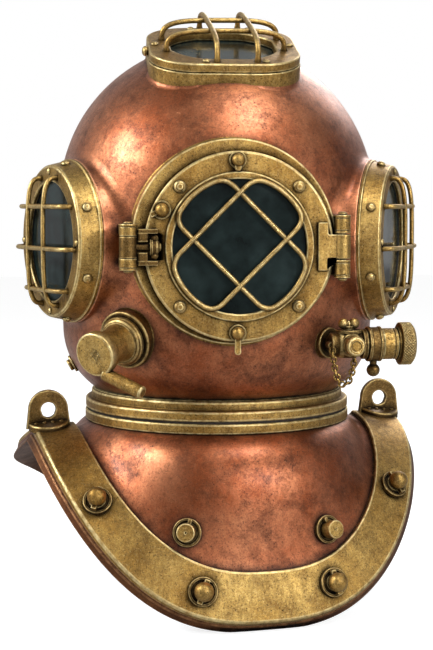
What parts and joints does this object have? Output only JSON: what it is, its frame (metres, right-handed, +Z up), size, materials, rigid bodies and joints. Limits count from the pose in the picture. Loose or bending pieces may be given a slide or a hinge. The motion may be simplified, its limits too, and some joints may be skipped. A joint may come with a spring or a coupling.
{
  "type": "diving helmet",
  "caption": "Copper and brass hard-hat diving helmet: barred windows, hinged front door, exhaust valve and air cock, on a saddle-shaped breastplate with clamping bands.",
  "frame": {"origin": "centre of the neck opening, in the joint between the bonnet's and the corselet's rings", "axes": "+Z up along the neck's axis, -Y to the front window, +X to the viewer's right as seen from the front"},
  "size_m": [0.3929, 0.3912, 0.5595],
  "materials": {
    "copper": "mottled, rubbed copper",
    "dark_copper": "dark oxidised copper",
    "brass": "antique, worn bright on its edges",
    "dark_brass": "antique, darkened",
    "window_glass": "clear plate, dark behind",
    "leather": "dark, greased"
  },
  "bodies": {
    "corselet": {"corselet_shell": "copper", "corselet_neck_ring": "brass", "cast_rim": "dark_copper", "front_band": "brass", "rear_band": "brass", "left_lug": "brass", "right_lug": "brass", "band_studs": "dark_brass", "band_nuts": "brass", "chest_stud_bases": "dark_brass", "chest_studs": "brass", "latch_bracket": "dark_brass"},
    "washer": {"neck_washer": "leather"},
    "bonnet": {"bonnet_shell": "copper", "bonnet_neck_ring": "brass", "latch_stop": "brass", "front_seat": "brass", "left_port_collar": "copper", "right_port_collar": "copper", "left_port_frame": "brass", "right_port_frame": "brass", "left_port_glass": "window_glass", "right_port_glass": "window_glass", "left_port_gasket": "leather", "right_port_gasket": "leather", "left_port_guard": "brass", "right_port_guard": "brass", "side_port_screws": "brass", "top_port_collar": "copper", "top_port_base": "brass", "top_port_frame": "brass", "top_port_glass": "window_glass", "top_port_guard": "brass", "top_port_screws": "brass", "hinge_bracket": "brass", "hinge_pin": "brass", "bolt_bracket": "brass", "bolt_pin": "brass", "exhaust_base": "dark_brass", "exhaust_body": "brass", "cock_base": "dark_brass", "cock_body": "dark_brass", "cock_plug": "brass", "keeper_chain": "brass", "outlet_tube": "brass", "left_elbow": "brass", "right_elbow": "brass", "left_elbow_cap": "brass"},
    "door": {"door_ring": "brass", "door_glass": "window_glass", "door_gasket": "leather", "door_guard": "brass", "door_bolts": "brass"},
    "swing_bolt": {"swing_bolt": "brass"},
    "wing_nut": {"wing_nut": "brass"},
    "exhaust_knob": {"exhaust_knob": "brass"},
    "cock_lever": {"cock_lever": "dark_brass"},
    "handwheel": {"handwheel": "brass"},
    "thumb_screw": {"thumb_screw": "brass"},
    "safety_latch": {"safety_latch": "brass"}
  },
  "joints": [
    {"name": "bonnet_lift", "type": "slide", "parent": "corselet", "child": "washer", "axis": [0, 0, 1], "range_m": [0, 0.08]},
    {"name": "bonnet_turn", "type": "hinge", "parent": "washer", "child": "bonnet", "pos_m": [0, 0, 0], "axis": [0, 0, 1], "range_deg": [0, 45]},
    {"name": "door_swing", "type": "hinge", "parent": "bonnet", "child": "door", "pos_m": [0.094, -0.1643, 0.16], "axis": [0, 0, 1], "range_deg": [0, 110]},
    {"name": "bolt_swing", "type": "hinge", "parent": "bonnet", "child": "swing_bolt", "pos_m": [-0.0935, -0.1678, 0.16], "axis": [0, 0, -1], "range_deg": [0, 100]},
    {"name": "nut_spin", "type": "hinge", "parent": "swing_bolt", "child": "wing_nut", "pos_m": [-0.0935, -0.1678, 0.16], "axis": [1, 0, 0], "continuous": true},
    {"name": "exhaust_turn", "type": "hinge", "parent": "bonnet", "child": "exhaust_knob", "pos_m": [-0.09143, -0.11702, 0.077], "axis": [-0.6022, -0.7708, -0.2079], "range_deg": [-60, 120]},
    {"name": "cock_turn", "type": "hinge", "parent": "bonnet", "child": "cock_lever", "pos_m": [0.10118, -0.13723, 0.0715], "axis": [0.9986, 0.0523, 0], "range_deg": [-60, 60]},
    {"name": "wheel_spin", "type": "hinge", "parent": "bonnet", "child": "handwheel", "pos_m": [0.10118, -0.13723, 0.0715], "axis": [0.9986, 0.0523, 0], "continuous": true},
    {"name": "thumb_spin", "type": "hinge", "parent": "bonnet", "child": "thumb_screw", "pos_m": [0.10517, -0.13703, 0.0715], "axis": [0, 0, 1], "continuous": true},
    {"name": "latch_swing", "type": "hinge", "parent": "corselet", "child": "safety_latch", "pos_m": [0, 0.137, -0.006], "axis": [1, 0, 0], "range_deg": [0, 115]}
  ]
}
